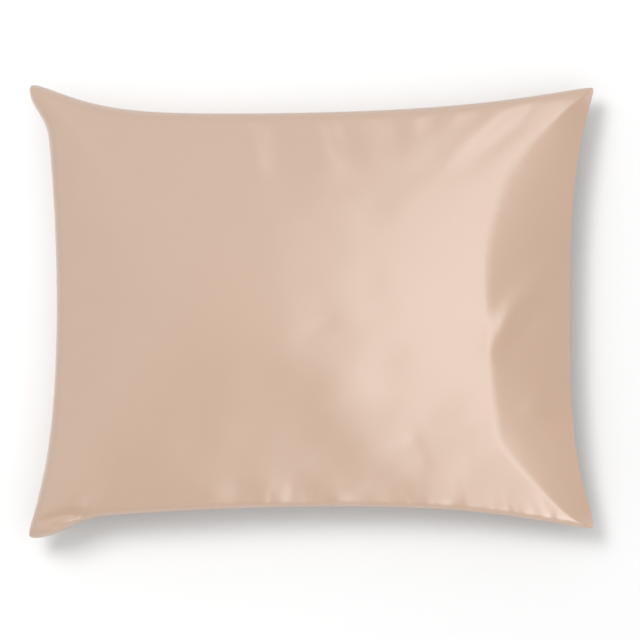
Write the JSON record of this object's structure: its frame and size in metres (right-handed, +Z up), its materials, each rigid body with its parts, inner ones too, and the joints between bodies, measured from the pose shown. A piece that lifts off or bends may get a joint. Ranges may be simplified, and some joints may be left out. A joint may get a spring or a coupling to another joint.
{
  "type": "filled pillowcase",
  "caption": "Satin pillowcase filled with its pillow, lying on its back, with drawn-in sides, tips, gathers and a tucked open end.",
  "frame": {"origin": "on the surface it lies on, under the middle of its outline's box", "axes": "+X along the long side towards the sewn end, +Y across, +Z up out of the front panel"},
  "size_m": [0.636, 0.5104, 0.1406],
  "materials": {
    "satin": "beige woven satin, smooth face with a broad pale sheen"
  },
  "bodies": {
    "root": {"filled_case": "satin", "back_panel": "satin"}
  },
  "joints": []
}
